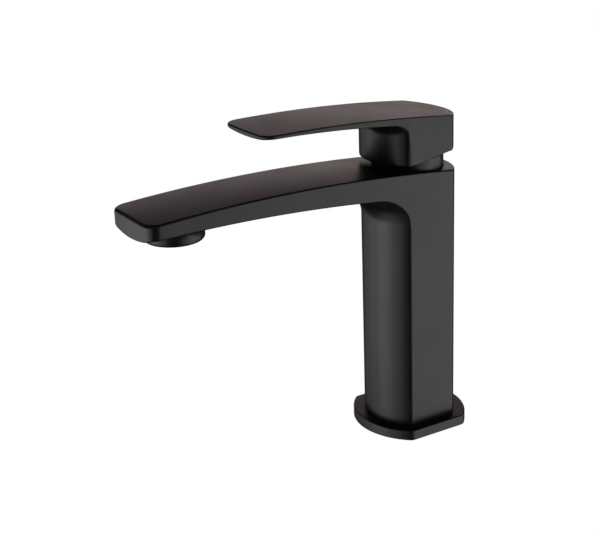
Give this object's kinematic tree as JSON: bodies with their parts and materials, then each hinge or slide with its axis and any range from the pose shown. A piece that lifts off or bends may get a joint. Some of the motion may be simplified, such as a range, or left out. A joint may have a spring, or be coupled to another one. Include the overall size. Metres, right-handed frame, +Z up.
{
  "type": "basin mixer faucet",
  "caption": "Matt black single-lever basin mixer with a flat arched spout, a flat arched lever on a round collar and a flanged base.",
  "frame": {"origin": "on the column's axis, in the plane of the base flange's underside", "axes": "+Z up along the column, -Y along the spout, +X to the right of a user who faces the spout"},
  "size_m": [0.0552, 0.1929, 0.1819],
  "materials": {
    "black_coat": "matt black powder coat",
    "steel": "satin",
    "rubber": "matt",
    "brass": "machined",
    "white_plastic": "matt",
    "dark_plastic": "matt",
    "plug_plastic": "matt",
    "inlay_enamel": "satin enamel",
    "green_plastic": "matt",
    "ceramic": "polished ceramic"
  },
  "bodies": {
    "tap_body": {"body_casting": "black_coat", "base_flange": "black_coat", "flange_screws": "steel", "base_gasket": "rubber", "cartridge_cover": "black_coat", "cover_o_ring": "rubber", "cartridge_nut": "brass", "cartridge_housing": "white_plastic", "cartridge_o_ring": "rubber", "cartridge_base": "dark_plastic", "inlet_seals": "rubber", "disc_seals": "rubber", "fixed_disc": "ceramic", "aerator_shell": "dark_plastic", "aerator_insert": "white_plastic", "aerator_screen": "steel", "flow_regulator": "green_plastic", "aerator_washer": "rubber"},
    "turning_guide": {"spindle_guide": "dark_plastic", "guide_o_ring": "rubber", "pivot_pin": "steel"},
    "sliding_disc": {"moving_disc": "ceramic", "disc_carrier": "white_plastic"},
    "lever": {"lever_handle": "black_coat", "spindle": "steel", "handle_grub_screw": "steel", "grub_screw_plug": "plug_plastic", "indicator_inlay": "inlay_enamel"}
  },
  "joints": [
    {"name": "temperature_swivel", "type": "hinge", "parent": "tap_body", "child": "turning_guide", "pos_m": [0, 0, 0.145], "axis": [0, 0, 1], "range_deg": [-45, 45]},
    {"name": "lever_lift", "type": "hinge", "parent": "turning_guide", "child": "lever", "pos_m": [0, 0, 0.145], "axis": [-1, 0, 0], "range_deg": [0, 25]},
    {"name": "disc_slide", "type": "slide", "parent": "turning_guide", "child": "sliding_disc", "axis": [0, -1, 0], "range_m": [0, 0.006]}
  ],
  "couplings": [
    {"joint": "disc_slide", "follows": "lever_lift", "m_per_rad": 0.01356}
  ]
}
